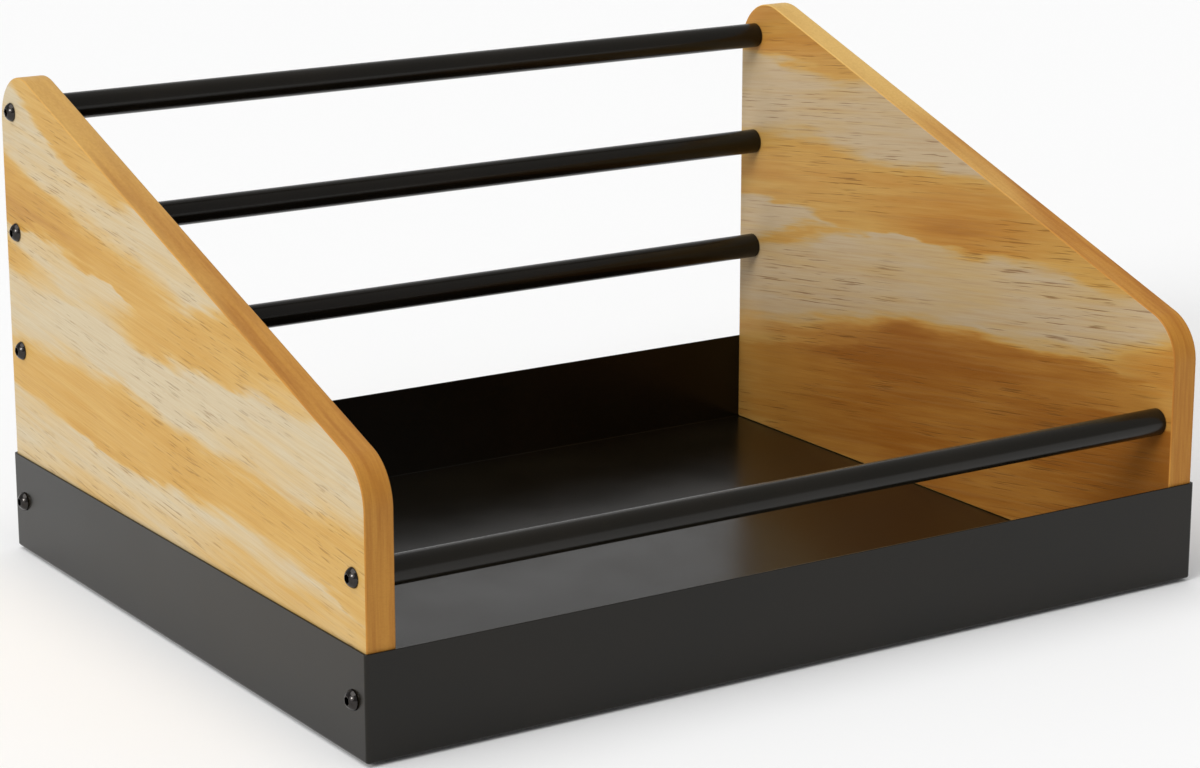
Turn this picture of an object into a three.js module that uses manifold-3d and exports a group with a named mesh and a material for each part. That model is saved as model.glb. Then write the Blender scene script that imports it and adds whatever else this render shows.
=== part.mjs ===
// Desk hutch: two sloped pine side panels stand inside a shallow folded steel tray. Three round
// steel rods close the back and one closes the front. Every rod end is held by a button-head screw
// that passes through the panel into a threaded plug in the tube, and two more screws a side hold
// the tray wall to the panel.
//
// Millimetres. +X runs along the front from left to right, +Y goes from front to back, +Z is up.
// The origin is the centre of the footprint, on the surface that the hutch stands on.

import * as THREE from 'three';
import { mergeVertices } from 'three/addons/utils/BufferGeometryUtils.js';
import Module from 'manifold-3d';

const wasm = await Module();
wasm.setup();

// ---------------------------------------------------------------- driving dimensions

const TRAY_WIDTH = 520;
const TRAY_DEPTH = 410;
const TRAY_HEIGHT = 55;
const SHEET_THICKNESS = 1.2;
const BEND_RADIUS = 1.5;

const PANEL_THICKNESS = 16;
const PANEL_FRONT_HEIGHT = 142.5;
const PANEL_BACK_HEIGHT = 284;
const PANEL_CORNER_RADIUS = 27;
const EASED_EDGE = 0.8;

const ROD_RADIUS = 7.5;
const ROD_WALL = 1.5;
const FRONT_ROD_Y = -192;
const FRONT_ROD_Z = 89.5;
const BACK_ROD_Y = 189;
const BACK_ROD_TOP_Z = 252.5;
const BACK_ROD_SPACING = 67.5;

// Button-head socket screws, M6, and the pieces they screw into.
const SCREW_RADIUS = 3;
const SCREW_TIP_CHAMFER = 0.6;
const SCREW_HEAD_RADIUS = 5.25;
const SCREW_HEAD_HEIGHT = 3.3;
const SCREW_HEAD_RIM = 0.5;
const SCREW_CROWN_RADIUS = 2.9;
const SOCKET_ACROSS_FLATS = 4;
const SOCKET_DEPTH = 2.1;
const ROD_SCREW_LENGTH = 30;
const TRAY_SCREW_LENGTH = 12;
const TRAY_SCREW_Y = 192;
const TRAY_SCREW_Z = 29;
const CLEARANCE_HOLE_RADIUS = 3.3;
const THREAD_BORE_RADIUS = 3.2;
const ROD_PLUG_LENGTH = 20;
const PANEL_INSERT_RADIUS = 5;
const PANEL_INSERT_LENGTH = 10;
const PANEL_INSERT_HOLE_DEPTH = 12.5;

const FOOT_RADIUS = 10;
const FOOT_THICKNESS = 1.6;
const FOOT_INSET = 28;
const FOOT_CHAMFER = 0.3;

// Neighbouring pieces stay this far apart where the real ones touch.
const GAP = 0.2;

// A bevel's inset as a share of its radius, just under 1 so that no corner closes to a point.
const BEVEL_INSET_SHARE = 0.98;
// How far a cutting tool for a sheet-metal hole reaches on each side of the wall.
const HOLE_REACH = 4;

// Facets around each kind of round shape.
const ROD_FACETS = 32;
const SCREW_FACETS = 20;
const HOLE_FACETS = 24;
const CORNER_STEPS = 3;
const PANEL_CORNER_STEPS = 6;
const CROWN_STEPS = 4;

// ---------------------------------------------------------------- derived dimensions

const trayBase = FOOT_THICKNESS + GAP;
const panelOuterX = TRAY_WIDTH / 2 - SHEET_THICKNESS - GAP;
const panelInnerX = panelOuterX - PANEL_THICKNESS;
const panelHalfDepth = TRAY_DEPTH / 2 - SHEET_THICKNESS - GAP;
const panelBottom = SHEET_THICKNESS + GAP;
const rodHalfLength = panelInnerX - GAP;
const plugRadius = ROD_RADIUS - ROD_WALL - GAP;

const SIDES = [
  { name: 'left', direction: -1 },
  { name: 'right', direction: 1 },
];
const ENDS = [
  { name: 'front', direction: -1 },
  { name: 'back', direction: 1 },
];
const RODS = [
  { name: 'back_rod_upper', y: BACK_ROD_Y, z: BACK_ROD_TOP_Z },
  { name: 'back_rod_middle', y: BACK_ROD_Y, z: BACK_ROD_TOP_Z - BACK_ROD_SPACING },
  { name: 'back_rod_lower', y: BACK_ROD_Y, z: BACK_ROD_TOP_Z - 2 * BACK_ROD_SPACING },
  { name: 'front_rod', y: FRONT_ROD_Y, z: FRONT_ROD_Z },
];

// ---------------------------------------------------------------- materials

function material(color, roughness, metalness) {
  return new THREE.MeshStandardMaterial({ color, roughness, metalness });
}

const powderCoat = () => material(0x2b2a29, 0.5, 0.3);
const pine = () => material(0xd9ae6c, 0.55, 0);
const blackOxide = () => material(0x34332f, 0.35, 0.9);
const zincPlate = () => material(0xa9abad, 0.4, 0.9);
const rubber = () => material(0x1c1c1c, 0.9, 0);

// ---------------------------------------------------------------- solids

// A geometry as a solid that can be cut. Its shared vertices are merged first, and the
// zero-width triangles that a lathe leaves on its axis are dropped.
function solidFrom(geometry) {
  const bare = geometry.clone();
  bare.deleteAttribute('normal');
  bare.deleteAttribute('uv');
  const merged = mergeVertices(bare);
  const corners = merged.index.array;
  const kept = [];
  for (let i = 0; i < corners.length; i += 3) {
    const [a, b, c] = [corners[i], corners[i + 1], corners[i + 2]];
    if (a !== b && b !== c && c !== a) kept.push(a, b, c);
  }
  const vertProperties = new Float32Array(merged.attributes.position.array);
  const triVerts = new Uint32Array(kept);
  return new wasm.Manifold(new wasm.Mesh({ numProp: 3, vertProperties, triVerts }));
}

function geometryFrom(solid) {
  const mesh = solid.getMesh();
  const geometry = new THREE.BufferGeometry();
  geometry.setAttribute('position', new THREE.BufferAttribute(mesh.vertProperties, 3));
  geometry.setIndex(new THREE.BufferAttribute(mesh.triVerts, 1));
  geometry.computeVertexNormals();
  return geometry;
}

function cut(geometry, tools) {
  let solid = solidFrom(geometry);
  for (const tool of tools) solid = solid.subtract(solidFrom(tool));
  return geometryFrom(solid);
}

// A round cutting tool along X between two places on the axis.
function holeAlongX(radius, fromX, toX, y, z) {
  const tool = new THREE.CylinderGeometry(radius, radius, Math.abs(toX - fromX), HOLE_FACETS);
  tool.rotateZ(Math.PI / 2);
  tool.translate((fromX + toX) / 2, y, z);
  return tool;
}

// Turns a shape drawn in Y and Z, extruded along its own Z, so that it is extruded along X.
function extrudedAlongX(shape, options) {
  const geometry = new THREE.ExtrudeGeometry(shape, options);
  const alongY = new THREE.Vector3(0, 1, 0);
  const alongZ = new THREE.Vector3(0, 0, 1);
  const alongX = new THREE.Vector3(1, 0, 0);
  geometry.applyMatrix4(new THREE.Matrix4().makeBasis(alongY, alongZ, alongX));
  return geometry;
}

function roundedRectangle(width, depth, radius) {
  const shape = new THREE.Shape();
  const x = width / 2 - radius;
  const y = depth / 2 - radius;
  shape.absarc(x, y, radius, 0, Math.PI / 2);
  shape.absarc(-x, y, radius, Math.PI / 2, Math.PI);
  shape.absarc(-x, -y, radius, Math.PI, 1.5 * Math.PI);
  shape.absarc(x, -y, radius, 1.5 * Math.PI, 2 * Math.PI);
  shape.closePath();
  return shape;
}

// A turned ring: a plain tube whose length runs along +Y.
function ringGeometry(innerRadius, outerRadius, length, facets) {
  const profile = [
    new THREE.Vector2(innerRadius, 0),
    new THREE.Vector2(outerRadius, 0),
    new THREE.Vector2(outerRadius, length),
    new THREE.Vector2(innerRadius, length),
    new THREE.Vector2(innerRadius, 0),
  ];
  return new THREE.LatheGeometry(profile, facets);
}

// ---------------------------------------------------------------- tray

// A block with rounded upright corners and a rounded lower edge, from z = bottom up past the rim.
function panBlock(width, depth, radius, bottom) {
  const rise = TRAY_HEIGHT + 2 * BEND_RADIUS;
  const block = new THREE.ExtrudeGeometry(roundedRectangle(width, depth, radius), {
    depth: rise,
    curveSegments: CORNER_STEPS,
    bevelThickness: radius,
    bevelSize: radius * BEVEL_INSET_SHARE,
    bevelOffset: -radius * BEVEL_INSET_SHARE,
    bevelSegments: CORNER_STEPS,
  });
  block.translate(0, 0, bottom + radius);
  return block;
}

function trayGeometry() {
  const innerRadius = BEND_RADIUS - SHEET_THICKNESS + GAP;
  const outside = panBlock(TRAY_WIDTH, TRAY_DEPTH, BEND_RADIUS, 0);
  const inside = panBlock(
    TRAY_WIDTH - 2 * SHEET_THICKNESS,
    TRAY_DEPTH - 2 * SHEET_THICKNESS,
    innerRadius,
    SHEET_THICKNESS,
  );
  const aboveRim = new THREE.BoxGeometry(2 * TRAY_WIDTH, 2 * TRAY_DEPTH, TRAY_HEIGHT);
  aboveRim.translate(0, 0, 1.5 * TRAY_HEIGHT);
  const holes = [];
  for (const side of SIDES) {
    for (const end of ENDS) {
      const wallX = side.direction * TRAY_WIDTH / 2;
      const [fromX, toX] = [wallX - HOLE_REACH, wallX + HOLE_REACH];
      const y = end.direction * TRAY_SCREW_Y;
      holes.push(holeAlongX(CLEARANCE_HOLE_RADIUS, fromX, toX, y, TRAY_SCREW_Z));
    }
  }
  return cut(outside, [aboveRim, inside, ...holes]);
}

// ---------------------------------------------------------------- side panels

// The panel's outline in Y and Z: upright front and back edges joined by the sloping top, with
// both upper corners rounded.
function panelOutline() {
  const slope = Math.atan2(PANEL_BACK_HEIGHT - PANEL_FRONT_HEIGHT, 2 * panelHalfDepth);
  const r = PANEL_CORNER_RADIUS;
  const slopeHeight = (y) => PANEL_FRONT_HEIGHT + (y + panelHalfDepth) * Math.tan(slope);
  const frontY = -panelHalfDepth + r;
  const backY = panelHalfDepth - r;
  const frontZ = slopeHeight(frontY) - r / Math.cos(slope);
  const backZ = slopeHeight(backY) - r / Math.cos(slope);
  const outline = new THREE.Shape();
  outline.moveTo(-panelHalfDepth, panelBottom);
  outline.lineTo(panelHalfDepth, panelBottom);
  outline.absarc(backY, backZ, r, 0, Math.PI / 2 + slope);
  outline.absarc(frontY, frontZ, r, Math.PI / 2 + slope, Math.PI);
  outline.closePath();
  return outline;
}

function panelGeometry(direction) {
  const board = extrudedAlongX(panelOutline(), {
    depth: PANEL_THICKNESS - 2 * EASED_EDGE,
    curveSegments: PANEL_CORNER_STEPS,
    bevelThickness: EASED_EDGE,
    bevelSize: EASED_EDGE,
    bevelOffset: -EASED_EDGE,
    bevelSegments: 2,
  });
  const outerX = direction * panelOuterX;
  const innerX = direction * panelInnerX;
  board.translate(Math.min(outerX, innerX) + EASED_EDGE, 0, 0);
  const beyond = direction * PANEL_THICKNESS;
  const holes = RODS.map((rod) =>
    holeAlongX(CLEARANCE_HOLE_RADIUS, innerX - beyond, outerX + beyond, rod.y, rod.z));
  for (const end of ENDS) {
    const floorX = outerX - direction * PANEL_INSERT_HOLE_DEPTH;
    const y = end.direction * TRAY_SCREW_Y;
    const radius = PANEL_INSERT_RADIUS + GAP;
    holes.push(holeAlongX(radius, floorX, outerX + beyond, y, TRAY_SCREW_Z));
  }
  return cut(board, holes);
}

// ---------------------------------------------------------------- rods

function rodGeometry() {
  const section = new THREE.Shape();
  section.absarc(0, 0, ROD_RADIUS, 0, 2 * Math.PI);
  const bore = new THREE.Path();
  bore.absarc(0, 0, ROD_RADIUS - ROD_WALL, 0, 2 * Math.PI);
  section.holes.push(bore);
  const tube = extrudedAlongX(section, {
    depth: 2 * rodHalfLength,
    curveSegments: ROD_FACETS / 2,
    bevelEnabled: false,
  });
  tube.translate(-rodHalfLength, 0, 0);
  return tube;
}

// ---------------------------------------------------------------- screws

// A button-head screw standing along Y: the head's underside is at y = 0, the crown is above it
// and the shank below.
function screwGeometry(length) {
  const profile = [
    new THREE.Vector2(0, -length),
    new THREE.Vector2(SCREW_RADIUS - SCREW_TIP_CHAMFER, -length),
    new THREE.Vector2(SCREW_RADIUS, SCREW_TIP_CHAMFER - length),
    new THREE.Vector2(SCREW_RADIUS, 0),
    new THREE.Vector2(SCREW_HEAD_RADIUS, 0),
  ];
  const domeHeight = SCREW_HEAD_HEIGHT - SCREW_HEAD_RIM;
  const domeWidth = SCREW_HEAD_RADIUS - SCREW_CROWN_RADIUS;
  for (let step = 0; step <= CROWN_STEPS; step += 1) {
    const turn = (step / CROWN_STEPS) * (Math.PI / 2);
    const radius = SCREW_CROWN_RADIUS + domeWidth * Math.cos(turn);
    profile.push(new THREE.Vector2(radius, SCREW_HEAD_RIM + domeHeight * Math.sin(turn)));
  }
  profile.push(new THREE.Vector2(0, SCREW_HEAD_HEIGHT));
  const blank = new THREE.LatheGeometry(profile, SCREW_FACETS);
  const socketRadius = SOCKET_ACROSS_FLATS / Math.sqrt(3);
  const socket = new THREE.CylinderGeometry(socketRadius, socketRadius, 2 * SOCKET_DEPTH, 6);
  socket.translate(0, SCREW_HEAD_HEIGHT, 0);
  return cut(blank, [socket]);
}

// ---------------------------------------------------------------- feet

function footGeometry() {
  const profile = [
    new THREE.Vector2(0, 0),
    new THREE.Vector2(FOOT_RADIUS - FOOT_CHAMFER, 0),
    new THREE.Vector2(FOOT_RADIUS, FOOT_CHAMFER),
    new THREE.Vector2(FOOT_RADIUS, FOOT_THICKNESS),
    new THREE.Vector2(0, FOOT_THICKNESS),
  ];
  const foot = new THREE.LatheGeometry(profile, HOLE_FACETS);
  foot.rotateX(Math.PI / 2);
  return foot;
}

// ---------------------------------------------------------------- assembly

function piece(name, geometry, finish) {
  const mesh = new THREE.Mesh(geometry, finish);
  mesh.name = name;
  return mesh;
}

// Stands a piece that was made along +Y so that it points out of the left or the right side.
function pointOutward(mesh, direction, x, y, z) {
  mesh.rotation.z = -direction * Math.PI / 2;
  mesh.position.set(direction * x, y, z);
  return mesh;
}

function addSidePanels(assembly) {
  for (const side of SIDES) {
    assembly.add(piece(`${side.name}_side_panel`, panelGeometry(side.direction), pine()));
  }
}

function addRod(assembly, rod) {
  const tube = piece(rod.name, rodGeometry(), powderCoat());
  tube.position.set(0, rod.y, rod.z);
  assembly.add(tube);
  for (const side of SIDES) {
    const boreRadius = THREAD_BORE_RADIUS;
    const plugShape = ringGeometry(boreRadius, plugRadius, ROD_PLUG_LENGTH, HOLE_FACETS);
    const plug = piece(`${rod.name}_${side.name}_plug`, plugShape, zincPlate());
    const plugInnerX = rodHalfLength - GAP - ROD_PLUG_LENGTH;
    assembly.add(pointOutward(plug, side.direction, plugInnerX, rod.y, rod.z));
    const screwShape = screwGeometry(ROD_SCREW_LENGTH);
    const screw = piece(`${rod.name}_${side.name}_screw`, screwShape, blackOxide());
    assembly.add(pointOutward(screw, side.direction, panelOuterX + GAP, rod.y, rod.z));
  }
}

function addTrayFixing(assembly, side, end) {
  const corner = `${end.name}_${side.name}`;
  const y = end.direction * TRAY_SCREW_Y;
  const insertShape = ringGeometry(
    THREAD_BORE_RADIUS,
    PANEL_INSERT_RADIUS,
    PANEL_INSERT_LENGTH,
    HOLE_FACETS,
  );
  const insert = piece(`panel_insert_${corner}`, insertShape, zincPlate());
  const insertInnerX = panelOuterX - GAP - PANEL_INSERT_LENGTH;
  assembly.add(pointOutward(insert, side.direction, insertInnerX, y, TRAY_SCREW_Z));
  const screw = piece(`tray_screw_${corner}`, screwGeometry(TRAY_SCREW_LENGTH), blackOxide());
  assembly.add(pointOutward(screw, side.direction, TRAY_WIDTH / 2 + GAP, y, TRAY_SCREW_Z));
}

function footAt(side, end) {
  const foot = piece(`foot_pad_${end.name}_${side.name}`, footGeometry(), rubber());
  const x = side.direction * (TRAY_WIDTH / 2 - FOOT_INSET);
  const y = end.direction * (TRAY_DEPTH / 2 - FOOT_INSET);
  foot.position.set(x, y, 0);
  return foot;
}

const hutch = new THREE.Group();
const raised = new THREE.Group();
raised.position.z = trayBase;
hutch.add(raised);

raised.add(piece('tray', trayGeometry(), powderCoat()));
addSidePanels(raised);
for (const rod of RODS) addRod(raised, rod);
for (const side of SIDES) {
  for (const end of ENDS) {
    addTrayFixing(raised, side, end);
    hutch.add(footAt(side, end));
  }
}

export default hutch;
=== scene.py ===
"""The looks of a desk hutch: a folded steel tray, two pine side panels and four round steel rods.

Everything is in metres. The origin is on the desk under the middle of the hutch, with +X to the right,
-Y to the front and +Z up.
"""

import math
import random
from collections import namedtuple

import bmesh
import bpy
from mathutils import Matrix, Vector


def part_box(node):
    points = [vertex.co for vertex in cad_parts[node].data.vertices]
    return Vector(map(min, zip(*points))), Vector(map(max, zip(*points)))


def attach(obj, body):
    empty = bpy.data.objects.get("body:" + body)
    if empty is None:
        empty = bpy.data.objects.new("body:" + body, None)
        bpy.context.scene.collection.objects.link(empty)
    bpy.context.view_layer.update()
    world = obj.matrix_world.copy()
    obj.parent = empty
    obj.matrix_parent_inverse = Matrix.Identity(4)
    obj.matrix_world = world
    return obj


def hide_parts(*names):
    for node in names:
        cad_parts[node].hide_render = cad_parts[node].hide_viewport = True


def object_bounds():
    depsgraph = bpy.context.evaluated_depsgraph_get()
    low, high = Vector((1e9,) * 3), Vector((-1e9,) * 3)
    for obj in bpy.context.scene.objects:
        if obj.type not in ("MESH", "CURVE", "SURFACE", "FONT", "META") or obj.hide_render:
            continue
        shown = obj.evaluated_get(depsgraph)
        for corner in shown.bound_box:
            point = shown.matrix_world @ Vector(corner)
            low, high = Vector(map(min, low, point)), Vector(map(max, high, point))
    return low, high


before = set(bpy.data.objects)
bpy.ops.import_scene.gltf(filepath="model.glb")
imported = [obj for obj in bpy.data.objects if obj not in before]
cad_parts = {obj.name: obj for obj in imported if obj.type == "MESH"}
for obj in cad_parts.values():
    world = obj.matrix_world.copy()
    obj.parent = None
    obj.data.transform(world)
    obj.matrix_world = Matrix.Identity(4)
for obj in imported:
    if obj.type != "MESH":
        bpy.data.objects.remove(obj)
cad_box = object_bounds()

MM = 0.001

# Sizes that the node boxes don't give. The panel's heights are those of its sloping top line at the front
# and the back, measured from the underside of the tray.
SHEET_THICKNESS = 1.2 * MM
TRAY_CORNER_RADIUS = 2.0 * MM
TRAY_OUTER_BEND = 1.5 * MM
TRAY_INNER_BEND = 0.3 * MM
RIM_ROUNDING = 0.3 * MM
PANEL_FRONT_HEIGHT = 142.5 * MM
PANEL_BACK_HEIGHT = 284 * MM
PANEL_CORNER_RADIUS = 27 * MM
PANEL_FOOT_RADIUS = 1.2 * MM
PANEL_ARRIS = 0.9 * MM
ROD_WALL = 1.5 * MM
ROD_END_CHAMFER = 0.3 * MM
HEAD_RADIUS = 5.25 * MM
HEAD_HEIGHT = 3.3 * MM
HEAD_RIM = 0.3 * MM
HEAD_EDGE_ROUNDING = 0.2 * MM
CROWN_RADIUS = 2.5 * MM
SOCKET_ACROSS_FLATS = 4 * MM
SOCKET_MOUTH_CHAMFER = 0.1 * MM
SOCKET_DEPTH = 2.1 * MM
SOCKET_POINT_RADIUS = 0.5 * MM
SOCKET_POINT_DEPTH = 0.6 * MM
SHANK_RADIUS = 3 * MM
SHANK_TIP_CHAMFER = 0.6 * MM
PAD_EDGE_ROUNDING = 0.4 * MM

# How finely the curves are drawn.
ROUND_STEPS = 48
BEND_STEPS = 5
HEAD_STEPS = 10
CORNER_STEPS = 18
FLOOR_STEPS = 64
SHARP_ANGLE = math.radians(35)

QUARTER_TURN = math.pi / 2
HEXAGON_SIDE = math.tau / 6

# Sets where each screw's socket points.
SCREW_TURN_SEED = 6

RODS = ("back_rod_upper", "back_rod_middle", "back_rod_lower", "front_rod")


# Shapes


def arc(start, end, steps):
    """Angles from start to end, both included."""
    return [start + (end - start) * i / steps for i in range(steps + 1)]


def quarter():
    """(sine, cosine) along a quarter turn."""
    return [(math.sin(a), math.cos(a)) for a in arc(0, QUARTER_TURN, BEND_STEPS)]


def circle(radius):
    """A ring of points on a circle."""
    angles = arc(0, math.tau, ROUND_STEPS)[:-1]
    return [(radius * math.cos(a), radius * math.sin(a)) for a in angles]


def hexagon(across_flats):
    """A ring of points on a hexagon, at the same angles as a circle's."""
    points = []
    for a in arc(0, math.tau, ROUND_STEPS)[:-1]:
        reach = across_flats / 2 / math.cos(a % HEXAGON_SIDE - HEXAGON_SIDE / 2)
        points.append((reach * math.cos(a), reach * math.sin(a)))
    return points


def solid(name, rings, joined_ends=False):
    """A closed smooth-shaded mesh through rings of points that all have the same length."""
    bm = bmesh.new()
    loops = [[bm.verts.new(point) for point in ring] for ring in rings]
    neighbours = list(zip(loops, loops[1:]))
    if joined_ends:
        neighbours.append((loops[-1], loops[0]))
    else:
        bm.faces.new(reversed(loops[0]))
        bm.faces.new(loops[-1])
    for first, second in neighbours:
        for i, corner in enumerate(first):
            after = (i + 1) % len(first)
            bm.faces.new((corner, first[after], second[after], second[i]))
    bmesh.ops.recalc_face_normals(bm, faces=bm.faces)
    for face in bm.faces:
        face.smooth = True
    for edge in bm.edges:
        edge.smooth = edge.calc_face_angle(0) < SHARP_ANGLE
    mesh = bpy.data.meshes.new(name)
    bm.to_mesh(mesh)
    bm.free()
    piece = bpy.data.objects.new(name, mesh)
    bpy.context.scene.collection.objects.link(piece)
    shading = piece.modifiers.new("flat faces stay flat", "WEIGHTED_NORMAL")
    shading.keep_sharp = True
    return piece


def stand_in(piece, node, material):
    """The piece stands for a CAD node and takes its finish."""
    piece.data.materials.append(material)
    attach(piece, "root")
    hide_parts(node)


def middle_of(low, high):
    """The centre of a node's box."""
    return (low + high) / 2


# Tray


def tray_ring(half_width, half_depth, inset, height):
    """A rounded rectangle that lies inset from the tray's outer walls."""
    radius = TRAY_CORNER_RADIUS - inset
    corner_x = half_width - TRAY_CORNER_RADIUS
    corner_y = half_depth - TRAY_CORNER_RADIUS
    corners = ((1, 1), (-1, 1), (-1, -1), (1, -1))
    points = []
    for turns, (side_x, side_y) in enumerate(corners):
        start = turns * QUARTER_TURN
        for a in arc(start, start + QUARTER_TURN, BEND_STEPS):
            x = side_x * corner_x + radius * math.cos(a)
            y = side_y * corner_y + radius * math.sin(a)
            points.append((x, y, height))
    return points


def make_tray(material):
    """One folded sheet, drawn from under its floor, up the outside, over the rim and down the inside."""
    low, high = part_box("tray")
    profile = []
    for sine, cosine in quarter():
        profile.append((TRAY_OUTER_BEND * (1 - sine), low.z + TRAY_OUTER_BEND * (1 - cosine)))
    for sine, cosine in quarter():
        profile.append((RIM_ROUNDING * (1 - cosine), high.z - RIM_ROUNDING * (1 - sine)))
    for sine, cosine in quarter():
        inset = SHEET_THICKNESS - RIM_ROUNDING * (1 - sine)
        profile.append((inset, high.z - RIM_ROUNDING * (1 - cosine)))
    floor = low.z + SHEET_THICKNESS
    for sine, cosine in quarter():
        inset = SHEET_THICKNESS + TRAY_INNER_BEND * (1 - cosine)
        profile.append((inset, floor + TRAY_INNER_BEND * (1 - sine)))
    half_width = (high.x - low.x) / 2
    half_depth = (high.y - low.y) / 2
    rings = [tray_ring(half_width, half_depth, inset, height) for inset, height in profile]
    stand_in(solid("folded_tray", rings), "tray", material)


# Side panels


def panel_outline(low, high, base, inset):
    """The panel's outline seen along X, drawn in by inset: square feet and two rounded top corners.

    Base is the height of the underside of the tray.
    """
    depth = high.y - low.y
    slope = math.atan2(PANEL_BACK_HEIGHT - PANEL_FRONT_HEIGHT, depth)
    radius = PANEL_CORNER_RADIUS

    def centre_under_slope(y):
        return base + PANEL_FRONT_HEIGHT + (y - low.y) * math.tan(slope) - radius / math.cos(slope)

    front = low.y + radius
    back = high.y - radius
    foot = PANEL_FOOT_RADIUS
    forwards = math.pi
    downwards = 3 * QUARTER_TURN
    crest = QUARTER_TURN + slope
    corners = (
        (low.y + foot, low.z + foot, foot, forwards, downwards, BEND_STEPS),
        (high.y - foot, low.z + foot, foot, downwards, math.tau, BEND_STEPS),
        (back, centre_under_slope(back), radius, 0, crest, CORNER_STEPS),
        (front, centre_under_slope(front), radius, crest, forwards, CORNER_STEPS),
    )
    points = []
    for y, z, corner_radius, start, end, steps in corners:
        reach = corner_radius - inset
        points += [(y + reach * math.cos(a), z + reach * math.sin(a)) for a in arc(start, end, steps)]
    return points


def make_panel(node, material):
    """A board on the tray's floor, with every arris rounded."""
    low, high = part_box(node)
    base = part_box("tray")[0].z
    left_face = []
    for sine, cosine in quarter():
        left_face.append((PANEL_ARRIS * (1 - sine), low.x + PANEL_ARRIS * (1 - cosine)))
    right_face = [(inset, low.x + high.x - x) for inset, x in reversed(left_face)]
    rings = []
    for inset, x in left_face + right_face:
        rings.append([(x, y, z) for y, z in panel_outline(low, high, base, inset)])
    stand_in(solid(node.replace("side_panel", "pine_panel"), rings), node, material)


# Rods


def make_rod(node, material):
    """A tube along X with chamfered ends."""
    low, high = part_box(node)
    centre = middle_of(low, high)
    outer = (high.z - low.z) / 2
    bore = outer - ROD_WALL
    profile = (
        (bore, low.x),
        (outer - ROD_END_CHAMFER, low.x),
        (outer, low.x + ROD_END_CHAMFER),
        (outer, high.x - ROD_END_CHAMFER),
        (outer - ROD_END_CHAMFER, high.x),
        (bore, high.x),
    )
    rings = [[(x, centre.y + u, centre.z + v) for u, v in circle(radius)] for radius, x in profile]
    stand_in(solid(node.replace("rod", "tube"), rings, joined_ends=True), node, material)


# Screws


def head_round():
    """(radius, height) along the round of a screw head, from its rim in to the crown."""
    rise = HEAD_HEIGHT - HEAD_RIM
    below_rim = (HEAD_RADIUS**2 - CROWN_RADIUS**2 - rise**2) / (2 * rise)
    radius = math.hypot(HEAD_RADIUS, below_rim)
    start = math.atan2(below_rim, HEAD_RADIUS)
    end = math.atan2(below_rim + rise, CROWN_RADIUS)
    centre = HEAD_RIM - below_rim
    return [(radius * math.cos(a), centre + radius * math.sin(a)) for a in arc(start, end, HEAD_STEPS)]


def screw_profile(length):
    """Rings along a button-head screw, each with its distance out from the face under the head."""
    tip = SHANK_RADIUS - SHANK_TIP_CHAMFER
    profile = [
        (circle(tip), -length),
        (circle(SHANK_RADIUS), SHANK_TIP_CHAMFER - length),
        (circle(SHANK_RADIUS), 0),
        (circle(HEAD_RADIUS - HEAD_EDGE_ROUNDING), 0),
        (circle(HEAD_RADIUS), HEAD_EDGE_ROUNDING),
    ]
    profile += [(circle(radius), height) for radius, height in head_round()]
    profile += [
        (hexagon(SOCKET_ACROSS_FLATS + 2 * SOCKET_MOUTH_CHAMFER), HEAD_HEIGHT),
        (hexagon(SOCKET_ACROSS_FLATS), HEAD_HEIGHT - SOCKET_MOUTH_CHAMFER),
        (hexagon(SOCKET_ACROSS_FLATS), HEAD_HEIGHT - SOCKET_DEPTH),
        (circle(SOCKET_POINT_RADIUS), HEAD_HEIGHT - SOCKET_DEPTH - SOCKET_POINT_DEPTH),
    ]
    return profile


def make_screw(node, material, chance):
    """A screw along X with its head outwards, left at whatever turn it was tightened to."""
    low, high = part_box(node)
    centre = middle_of(low, high)
    outward = math.copysign(1, centre.x)
    top = high.x if outward > 0 else low.x
    seat = top - outward * HEAD_HEIGHT
    length = high.x - low.x - HEAD_HEIGHT
    turn = chance.uniform(0, HEXAGON_SIDE)
    rings = []
    for ring, distance in screw_profile(length):
        points = []
        for u, v in ring:
            y = centre.y + u * math.cos(turn) - v * math.sin(turn)
            z = centre.z + u * math.sin(turn) + v * math.cos(turn)
            points.append((seat + outward * distance, y, z))
        rings.append(points)
    stand_in(solid(node.replace("screw", "button_screw"), rings), node, material)


# Foot pads


def make_pad(node, material):
    """A round pad with a soft edge where it rests."""
    low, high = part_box(node)
    centre = middle_of(low, high)
    radius = (high.x - low.x) / 2
    profile = []
    for sine, cosine in quarter():
        profile.append((radius - PAD_EDGE_ROUNDING * (1 - sine), low.z + PAD_EDGE_ROUNDING * (1 - cosine)))
    profile.append((radius, high.z))
    rings = [[(centre.x + u, centre.y + v, z) for u, v in circle(reach)] for reach, z in profile]
    stand_in(solid(node.replace("foot_pad", "rubber_foot"), rings), node, material)


# Materials

# Noise that a pattern is drawn from: about stretch features in each metre along X, Y and Z, its detail and
# roughness, and a shift that keeps it apart from the other patterns of the same stretch.
Pattern = namedtuple("Pattern", "stretch detail roughness shift", defaults=(0,))

# Noise seldom comes near 0 or 1, so each pattern is read between inner limits.
WIDE = (0.25, 0.75)
MEDIUM = (0.3, 0.7)
NARROW = (0.35, 0.65)


def colour(code):
    """A linear colour from its six-digit sRGB code."""
    parts = [int(code[i : i + 2], 16) / 255 for i in (0, 2, 4)]
    linear = [((part + 0.055) / 1.055) ** 2.4 if part > 0.04045 else part / 12.92 for part in parts]
    return (*linear, 1)


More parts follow.
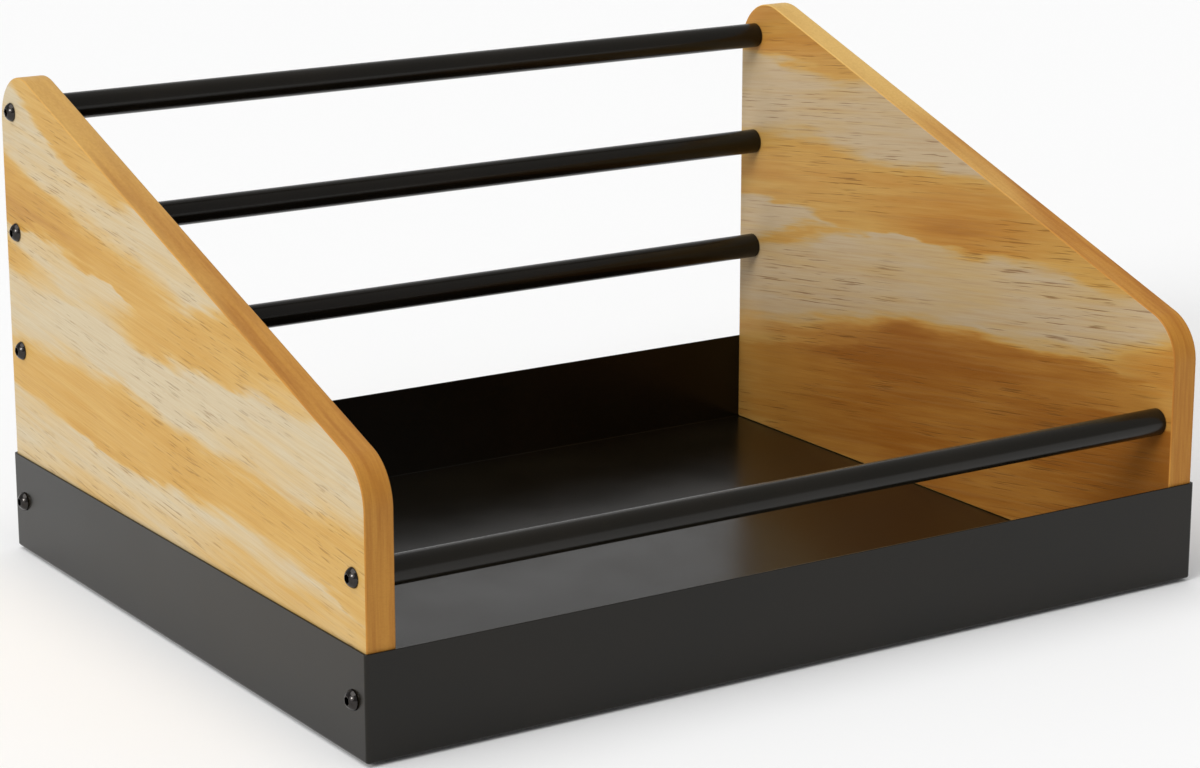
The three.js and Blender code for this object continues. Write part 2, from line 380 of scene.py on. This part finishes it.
class Finish:
    """A node material whose patterns are laid out in the hutch's own coordinates, in metres."""

    def __init__(self, name):
        self.material = bpy.data.materials.new(name)
        self.material.use_nodes = True
        self.tree = self.material.node_tree
        self.shader = self.tree.nodes["Principled BSDF"]
        self.place = self.add("ShaderNodeTexCoord").outputs["Object"]

    def add(self, kind, **settings):
        node = self.tree.nodes.new(kind)
        for name, value in settings.items():
            setattr(node, name, value)
        return node

    def feed(self, socket, value):
        """Links the socket to another node's socket, or sets it to a plain value."""
        if isinstance(value, bpy.types.NodeSocket):
            self.tree.links.new(value, socket)
        else:
            socket.default_value = value

    def surface(self, **values):
        """Sets the shader's own sockets, such as base_colour or roughness."""
        for name, value in values.items():
            socket = name.replace("_", " ").title().replace("Colour", "Color").replace("Ior", "IOR")
            self.feed(self.shader.inputs[socket], value)

    def math(self, operation, first, second=0.0):
        node = self.add("ShaderNodeMath", operation=operation)
        self.feed(node.inputs[0], first)
        self.feed(node.inputs[1], second)
        return node.outputs[0]

    def product(self, first, second):
        return self.math("MULTIPLY", first, second)

    def parts(self, vector):
        """The X, Y and Z of a vector."""
        node = self.add("ShaderNodeSeparateXYZ")
        self.feed(node.inputs[0], vector)
        return node.outputs

    def joined(self, x, y, z):
        """The vector of an X, a Y and a Z."""
        node = self.add("ShaderNodeCombineXYZ")
        for socket, value in zip(node.inputs, (x, y, z)):
            self.feed(socket, value)
        return node.outputs[0]

    def noise(self, pattern, place=None, shift=0.0):
        """The pattern's noise, from 0 to 1."""
        whole_shift = shift + pattern.shift
        scaled = self.add("ShaderNodeMapping")
        scaled.inputs["Location"].default_value = (whole_shift, whole_shift, whole_shift)
        scaled.inputs["Scale"].default_value = pattern.stretch
        self.feed(scaled.inputs["Vector"], place or self.place)
        node = self.add("ShaderNodeTexNoise")
        self.feed(node.inputs["Vector"], scaled.outputs[0])
        self.feed(node.inputs["Scale"], 1.0)
        self.feed(node.inputs["Detail"], pattern.detail)
        self.feed(node.inputs["Roughness"], pattern.roughness)
        return node.outputs["Fac"]

    def range(self, value, low, high, to_low=0.0, to_high=1.0, smooth=True):
        """Value taken from between low and high to between to_low and to_high."""
        kind = "SMOOTHSTEP" if smooth else "LINEAR"
        node = self.add("ShaderNodeMapRange", interpolation_type=kind)
        for name, number in (
            ("Value", value),
            ("From Min", low),
            ("From Max", high),
            ("To Min", to_low),
            ("To Max", to_high),
        ):
            self.feed(node.inputs[name], number)
        return node.outputs[0]

    def varied(self, value, noise, limits, low, high):
        """Value with a little added or taken away by the noise."""
        return self.math("ADD", value, self.range(noise, *limits, low, high, smooth=False))

    def curve(self, share, values):
        """A smooth line through evenly spaced values, each from 0 to 1, as share goes from 0 to 1."""
        node = self.add("ShaderNodeFloatCurve")
        points = node.mapping.curves[0].points
        points[0].location.y = values[0]
        points[1].location.y = values[-1]
        for i, value in enumerate(values[1:-1], 1):
            points.new(i / (len(values) - 1), value)
        for point in points:
            point.handle_type = "AUTO_CLAMPED"
        node.mapping.update()
        self.feed(node.inputs["Value"], share)
        return node.outputs[0]

    def mix(self, share, first, second):
        """One colour into another. A mix node lists its colour sockets after those for plain numbers."""
        node = self.add("ShaderNodeMix", data_type="RGBA")
        self.feed(node.inputs[0], share)
        self.feed(node.inputs[6], first)
        self.feed(node.inputs[7], second)
        return node.outputs[2]

    def ramp(self, share, stops):
        """A colour from (position, colour) stops."""
        node = self.add("ShaderNodeValToRGB")
        elements = node.color_ramp.elements
        while len(elements) < len(stops):
            elements.new(1)
        for element, (position, tint) in zip(elements, stops):
            element.position = position
            element.color = tint
        self.feed(node.inputs[0], share)
        return node.outputs[0]

    def bump(self, height, depth):
        """Relief of the given depth in metres."""
        node = self.add("ShaderNodeBump")
        node.inputs["Strength"].default_value = 1.0
        node.inputs["Distance"].default_value = depth
        self.feed(node.inputs["Height"], height)
        self.feed(self.shader.inputs["Normal"], node.outputs[0])


# Pine, the faces. Each band of late wood has a sharp low edge, a faded high edge (both in millimetres above
# the desk) and a tone from 0 to 1, at five places from the front of the panel to its back.

FOOT = (0, 0, 0, 0, 0)
OVER_THE_TOP = (400, 400, 400, 400, 400)
LEFT_BANDS = (
    (FOOT, (82, 84, 80, 76, 66), (0.42, 0.34, 0.12, 0.14, 0.10)),
    ((70, 90, 85, 88, 97), (120, 122, 131, 134, 130), (0.42, 0.48, 0.58, 0.56, 0.48)),
    ((150, 159, 154, 157, 168), (170, 200, 190, 168, 190), (0.00, 0.46, 0.66, 0.14, 0.58)),
    ((150, 160, 166, 182, 193), (160, 182, 197, 214, 236), (0.00, 0.00, 0.60, 0.58, 0.68)),
    ((230, 230, 222, 232, 274), OVER_THE_TOP, (0.00, 0.00, 0.55, 0.54, 0.48)),
    ((146, 192, 260, 260, 260), OVER_THE_TOP, (0.50, 0.20, 0.00, 0.00, 0.00)),
)
RIGHT_BANDS = (
    (FOOT, (98, 98, 98, 84, 66), (1.00, 0.92, 0.90, 0.80, 0.60)),
    ((0, 80, 80, 66, 50), (118, 122, 112, 96, 76), (0.70, 0.88, 0.88, 0.60, 0.45)),
    ((98, 110, 120, 120, 120), (142, 126, 130, 130, 130), (0.70, 0.30, 0.00, 0.00, 0.00)),
    ((154, 156, 154, 149, 148), (200, 206, 203, 204, 204), (0.30, 0.46, 0.62, 0.52, 0.50)),
    ((160, 160, 158, 143, 112), (162, 162, 162, 151, 122), (0.00, 0.00, 0.00, 0.50, 0.42)),
    ((262, 262, 250, 238, 244), OVER_THE_TOP, (0.00, 0.00, 0.20, 0.48, 0.66)),
)
# A band fades over this share of its own height, and over no more than FADE.
FADE_SHARE = 0.6
FADE = 14 * MM

# The edges wander slowly, are feathered finely, and are crisp in one place and soft in another.
WANDER = Pattern((4, 7, 18), 2, 0.5)
WANDER_REACH = 6 * MM
FEATHER = Pattern((20, 16, 130), 3, 0.6)
FEATHER_REACH = 5 * MM
SOFTNESS = Pattern((4, 9, 30), 1, 0.5, shift=5)
SOFTNESS_REACH = (1 * MM, 6 * MM)

# The tone varies in broad blushes and thin wisps, and the colour follows it from early wood to late.
BLUSH = Pattern((4, 6, 26), 3, 0.55, shift=9)
BLUSH_REACH = (-0.09, 0.17)
WISPS = Pattern((30, 9, 210), 4, 0.6)
WISPS_REACH = (-0.1, 0.1)
TONE_STEPS = (0.0, 0.2, 0.45, 0.7, 1.0)
LEFT_TONES = ("C2B394", "C4AB7D", "C49E59", "BE9246", "A57331")
RIGHT_TONES = ("BFA987", "C1A370", "C5994F", "B88034", "965913")

# Pine, the edges, where the board was cut across its rings. They run into paler sapwood towards the back.
RINGS = Pattern((260, 16, 16), 4, 0.6)
RING_COLOURS = ("BA8131", "A4681F")
SAPWOOD = Pattern((60, 9, 9), 2, 0.5)
SAPWOOD_LIMITS = (0.6, 1.4)
SAPWOOD_COLOUR = "DAB468"
FACE_LIMITS = (0.85, 0.99)

# Pine, the fine marks: short resin ducts in loose clusters, long faint streaks and fibre, then painted
# shade that darkens the foot of a panel's face near the black tray.
CLUSTERS = Pattern((5, 8, 30), 3, 0.55, shift=3)
CLUSTER_LIMITS = (0.38, 0.60)
DUCT_LIMITS = (0.58, 0.68)
DUCT_COLOUR = "70450F"
STREAKS = Pattern((200, 10, 560), 4, 0.66, shift=7)
STREAK_LIMITS = (0.48, 0.7)
STREAK_COLOUR = "A87B45"
FIBRE = Pattern((700, 26, 1500), 3, 0.6)
FIBRE_LIMITS = (0.35, 0.7)
FIBRE_SHARE = 0.12
FIBRE_COLOUR = "8A5C2C"
FIBRE_HEIGHT = 0.4
PAINTED_SHADE_HEIGHTS = (70 * MM, 155 * MM)
PAINTED_SHADE_COLOUR = "5E3E1C"
PINE_RELIEF = 0.12 * MM
PINE_ROUGHNESS = (0.46, 0.58)

# What differs from one panel to the other. The grain rises by grain_rise for each metre of depth.
LEFT_FIGURE = {
    "bands": LEFT_BANDS,
    "tones": LEFT_TONES,
    "grain_rise": 0.10,
    "shift": 1.7,
    "ducts": Pattern((300, 50, 1000), 2, 0.5),
    "duct_share": 0.40,
    "streak_share": 0.16,
    "sapwood_share": (0.05, 0.55),
    "painted_foot_shade": 0.0,
}
RIGHT_FIGURE = {
    "bands": RIGHT_BANDS,
    "tones": RIGHT_TONES,
    "grain_rise": -0.12,
    "shift": 6.2,
    "ducts": Pattern((300, 26, 950), 2, 0.5),
    "duct_share": 0.62,
    "streak_share": 0.24,
    "sapwood_share": (0.0, 0.85),
    # The right panel's face gets painted shade towards its foot: full at 70 mm above the desk, gone by 155
    # mm.
    "painted_foot_shade": 0.22,
}


def late_wood(wood, bands, depth_share, height, softness):
    """How much late wood shows, from 0 to 1."""
    tone = 0.0
    for low_edge, high_edge, tones in bands:
        low = wood.curve(depth_share, [edge * MM for edge in low_edge])
        high = wood.curve(depth_share, [edge * MM for edge in high_edge])
        above_low = wood.math("SUBTRACT", height, low)
        begun = wood.range(above_low, wood.product(softness, -1), softness)
        fade = wood.math("MINIMUM", wood.product(wood.math("SUBTRACT", high, low), FADE_SHARE), FADE)
        unfaded = wood.range(wood.math("SUBTRACT", high, height), 0, fade)
        shown = wood.product(wood.product(begun, unfaded), wood.curve(depth_share, tones))
        tone = wood.math("MAXIMUM", tone, shown)
    return tone


def face_colour(wood, figure, grain, z, depth_share):
    """Broad bands of late wood with wandering, feathered edges."""
    shift = figure["shift"]
    height = wood.varied(z, wood.noise(WANDER, grain, shift), WIDE, -WANDER_REACH, WANDER_REACH)
    height = wood.varied(height, wood.noise(FEATHER, grain, shift), WIDE, -FEATHER_REACH, FEATHER_REACH)
    softness = wood.range(wood.noise(SOFTNESS, grain, shift), *NARROW, *SOFTNESS_REACH)
    tone = late_wood(wood, figure["bands"], depth_share, height, softness)
    tone = wood.varied(tone, wood.noise(BLUSH, grain, shift), MEDIUM, *BLUSH_REACH)
    tone = wood.varied(tone, wood.noise(WISPS, grain, shift), MEDIUM, *WISPS_REACH)
    return wood.ramp(tone, [(step, colour(code)) for step, code in zip(TONE_STEPS, figure["tones"])])


def edge_colour(wood, figure, depth_share):
    """The ends of the rings along the edges, with more sapwood towards the back."""
    shift = figure["shift"]
    first, second = RING_COLOURS
    rings = wood.range(wood.noise(RINGS, shift=shift), *MEDIUM)
    sapwood = wood.math("ADD", depth_share, wood.noise(SAPWOOD, shift=shift))
    sapwood = wood.range(sapwood, *SAPWOOD_LIMITS, *figure["sapwood_share"])
    return wood.mix(sapwood, wood.mix(rings, colour(first), colour(second)), colour(SAPWOOD_COLOUR))


def pine(name, figure):
    """Flat-sawn, lightly oiled pine with its grain from front to back, and painted shade towards the foot
    of the face.
    """
    shift = figure["shift"]
    low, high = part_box("left_side_panel")
    wood = Finish(name)
    x, y, z = wood.parts(wood.place)
    across = wood.math("SUBTRACT", z, wood.product(y, figure["grain_rise"]))
    grain = wood.joined(x, y, across)
    depth_share = wood.range(y, low.y, high.y, smooth=False)
    facing = wood.math("ABSOLUTE", wood.parts(wood.add("ShaderNodeNewGeometry").outputs["Normal"])[0])
    on_face = wood.range(facing, *FACE_LIMITS)
    edge = edge_colour(wood, figure, depth_share)
    base = wood.mix(on_face, edge, face_colour(wood, figure, grain, z, depth_share))

    clusters = wood.product(wood.range(wood.noise(CLUSTERS, grain, shift), *CLUSTER_LIMITS), on_face)
    ducts = wood.product(wood.range(wood.noise(figure["ducts"], grain, shift), *DUCT_LIMITS), clusters)
    streaks = wood.product(wood.range(wood.noise(STREAKS, grain, shift), *STREAK_LIMITS), on_face)
    fibre = wood.noise(FIBRE, grain, shift)
    # Painted shade: the face is darkened towards its foot, where the black tray shades it.
    painted_shade = wood.product(wood.range(z, *PAINTED_SHADE_HEIGHTS, figure["painted_foot_shade"], 0), on_face)
    base = wood.mix(wood.product(streaks, figure["streak_share"]), base, colour(STREAK_COLOUR))
    base = wood.mix(wood.product(ducts, figure["duct_share"]), base, colour(DUCT_COLOUR))
    base = wood.mix(wood.range(fibre, *FIBRE_LIMITS, 0.0, FIBRE_SHARE), base, colour(FIBRE_COLOUR))
    wood.surface(
        base_colour=wood.mix(painted_shade, base, colour(PAINTED_SHADE_COLOUR)),
        roughness=wood.range(fibre, *MEDIUM, *PINE_ROUGHNESS),
        specular_ior_level=0.25,
    )
    wood.bump(wood.math("SUBTRACT", wood.product(fibre, FIBRE_HEIGHT), ducts), PINE_RELIEF)
    return wood.material


# Powder coat

COAT_PEEL = Pattern((900, 900, 900), 2, 0.5)
COAT_PEEL_RELIEF = 0.02 * MM
COAT_PATCHES = Pattern((18, 18, 18), 3, 0.55)
COAT_COLOURS = ("100D06", "141008")
COAT_ROUGHNESS = (0.22, 0.27)
COAT_SPECKLE = Pattern((2600, 2600, 2600), 1, 0.5)
COAT_SPECKLE_LIMITS = (0.6, 0.75)
COAT_SPECKLE_SHARE = 0.4
COAT_SPECKLE_COLOUR = "1C1B1A"


def powder_coat():
    """Black satin powder coat with a fine orange-peel texture."""
    coat = Finish("black powder coat")
    first, second = COAT_COLOURS
    patches = coat.noise(COAT_PATCHES)
    speckle = coat.range(coat.noise(COAT_SPECKLE), *COAT_SPECKLE_LIMITS, 0.0, COAT_SPECKLE_SHARE)
    base = coat.mix(coat.range(patches, *NARROW), colour(first), colour(second))
    coat.surface(
        base_colour=coat.mix(speckle, base, colour(COAT_SPECKLE_COLOUR)),
        roughness=coat.range(patches, *MEDIUM, *COAT_ROUGHNESS),
        specular_ior_level=0.3,
    )
    coat.bump(coat.noise(COAT_PEEL), COAT_PEEL_RELIEF)
    return coat.material


# Black oxide, zinc and rubber

OXIDE_FILM = Pattern((500, 500, 500), 3, 0.6)
OXIDE_COLOURS = ("302E2D", "484543")
OXIDE_ROUGHNESS = (0.05, 0.1)
TURNING_MARKS = Pattern((4000, 900, 900), 2, 0.5)
TURNING_RELIEF = 0.01 * MM

ZINC_BLOOM = Pattern((420, 420, 420), 3, 0.6)
ZINC_COLOURS = ("B9BDC2", "D6D9DC")
ZINC_ROUGHNESS = (0.26, 0.42)
ZINC_RELIEF = 0.01 * MM

RUBBER_PEBBLES = Pattern((1500, 1500, 1500), 3, 0.6)
RUBBER_COLOURS = ("151515", "222221")
RUBBER_ROUGHNESS = (0.72, 0.88)
RUBBER_RELIEF = 0.05 * MM


def black_oxide():
    """Blackened steel with a thin film of oil and faint turning marks."""
    steel = Finish("black oxide steel")
    first, second = OXIDE_COLOURS
    film = steel.noise(OXIDE_FILM)
    steel.surface(
        base_colour=steel.mix(film, colour(first), colour(second)),
        metallic=1.0,
        roughness=steel.range(film, *MEDIUM, *OXIDE_ROUGHNESS),
    )
    steel.bump(steel.noise(TURNING_MARKS), TURNING_RELIEF)
    return steel.material


def zinc_plate():
    """Bright zinc with a crystalline bloom."""
    zinc = Finish("zinc plate")
    first, second = ZINC_COLOURS
    bloom = zinc.noise(ZINC_BLOOM)
    zinc.surface(
        base_colour=zinc.mix(bloom, colour(first), colour(second)),
        metallic=1.0,
        roughness=zinc.range(bloom, *MEDIUM, *ZINC_ROUGHNESS),
    )
    zinc.bump(bloom, ZINC_RELIEF)
    return zinc.material


def rubber():
    """Dull black rubber with a pebbled skin."""
    skin = Finish("black rubber")
    first, second = RUBBER_COLOURS
    pebbles = skin.noise(RUBBER_PEBBLES)
    skin.surface(
        base_colour=skin.mix(pebbles, colour(first), colour(second)),
        roughness=skin.range(pebbles, *MEDIUM, *RUBBER_ROUGHNESS),
    )
    skin.bump(pebbles, RUBBER_RELIEF)
    return skin.material


# Studio

CAMERA_LENS = 99.46
CAMERA_SENSOR = 36
CAMERA_AZIMUTH = math.radians(-32.96)
CAMERA_ELEVATION = math.radians(14.89)
CAMERA_DISTANCE = 1.866
# The camera looks at a point this far to the right of the middle of the tray's underside, and above it.
AIM_RIGHT = 0.0030
AIM_UP = 0.0995

FLOOR_RADIUS = 8
FLOOR_COLOUR = "F4F4F4"
SKY_STRENGTH = 0.4
KEY_DIRECTION = (-0.87, -0.24, 0.42)
# Each lamp's name, strength and spread in degrees, and the direction that it shines from.
LAMPS = (
    ("key light", 0.7, 50, KEY_DIRECTION),
    ("key light core", 1.05, 17, KEY_DIRECTION),
    ("top light", 1.4, 60, (-0.25, 0.05, 0.97)),
    ("back light", 0.15, 40, (0.52, 0.80, 0.30)),
)


def add_camera():
    """Looks down at the hutch from the front left."""
    back = Vector((
        math.sin(CAMERA_AZIMUTH) * math.cos(CAMERA_ELEVATION),
        -math.cos(CAMERA_AZIMUTH) * math.cos(CAMERA_ELEVATION),
        math.sin(CAMERA_ELEVATION),
    ))
    right = Vector((math.cos(CAMERA_AZIMUTH), math.sin(CAMERA_AZIMUTH), 0))
    up = back.cross(right)
    tray_bottom = Vector((0, 0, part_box("tray")[0].z))
    camera = bpy.data.objects.new("camera", bpy.data.cameras.new("camera"))
    camera.data.lens = CAMERA_LENS
    camera.data.sensor_width = CAMERA_SENSOR
    camera.location = tray_bottom + AIM_RIGHT * right + AIM_UP * up + CAMERA_DISTANCE * back
    camera.rotation_euler = back.to_track_quat("Z", "Y").to_euler()
    bpy.context.scene.collection.objects.link(camera)
    bpy.context.scene.camera = camera


def add_floor():
    """A round sheet of pale paper under the hutch."""
    mesh = bpy.data.meshes.new("floor")
    bm = bmesh.new()
    bmesh.ops.create_circle(bm, cap_ends=True, radius=FLOOR_RADIUS, segments=FLOOR_STEPS)
    bm.to_mesh(mesh)
    bm.free()
    floor = bpy.data.objects.new("floor", mesh)
    floor.location.z = cad_box[0][2]
    bpy.context.scene.collection.objects.link(floor)
    paper = Finish("pale floor")
    paper.surface(base_colour=colour(FLOOR_COLOUR), roughness=0.9, specular_ior_level=0.1)
    mesh.materials.append(paper.material)


def add_sky():
    """A white sky that lights the hutch evenly from all round."""
    world = bpy.data.worlds.new("studio")
    world.use_nodes = True
    sky = world.node_tree.nodes["Background"]
    sky.inputs["Color"].default_value = (1, 1, 1, 1)
    sky.inputs["Strength"].default_value = SKY_STRENGTH
    bpy.context.scene.world = world


def add_lamp(name, strength, spread, direction):
    """A broad soft light that shines from the given direction."""
    lamp = bpy.data.objects.new(name, bpy.data.lights.new(name, "SUN"))
    lamp.data.energy = strength
    lamp.data.angle = math.radians(spread)
    lamp.rotation_euler = Vector(direction).to_track_quat("Z", "Y").to_euler()
    bpy.context.scene.collection.objects.link(lamp)


# Assembly

bpy.context.scene.view_settings.view_transform = "Standard"
add_camera()
add_floor()
add_sky()
for lamp in LAMPS:
    add_lamp(*lamp)

coat = powder_coat()
oxide = black_oxide()
zinc = zinc_plate()
pad_rubber = rubber()
make_tray(coat)
make_panel("left_side_panel", pine("pine, left", LEFT_FIGURE))
make_panel("right_side_panel", pine("pine, right", RIGHT_FIGURE))
for rod in RODS:
    make_rod(rod, coat)
chance = random.Random(SCREW_TURN_SEED)
for node in sorted(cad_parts):
    if "screw" in node:
        make_screw(node, oxide, chance)
    elif "foot_pad" in node:
        make_pad(node, pad_rubber)
    elif "plug" in node or "insert" in node:
        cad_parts[node].material_slots[0].material = zinc
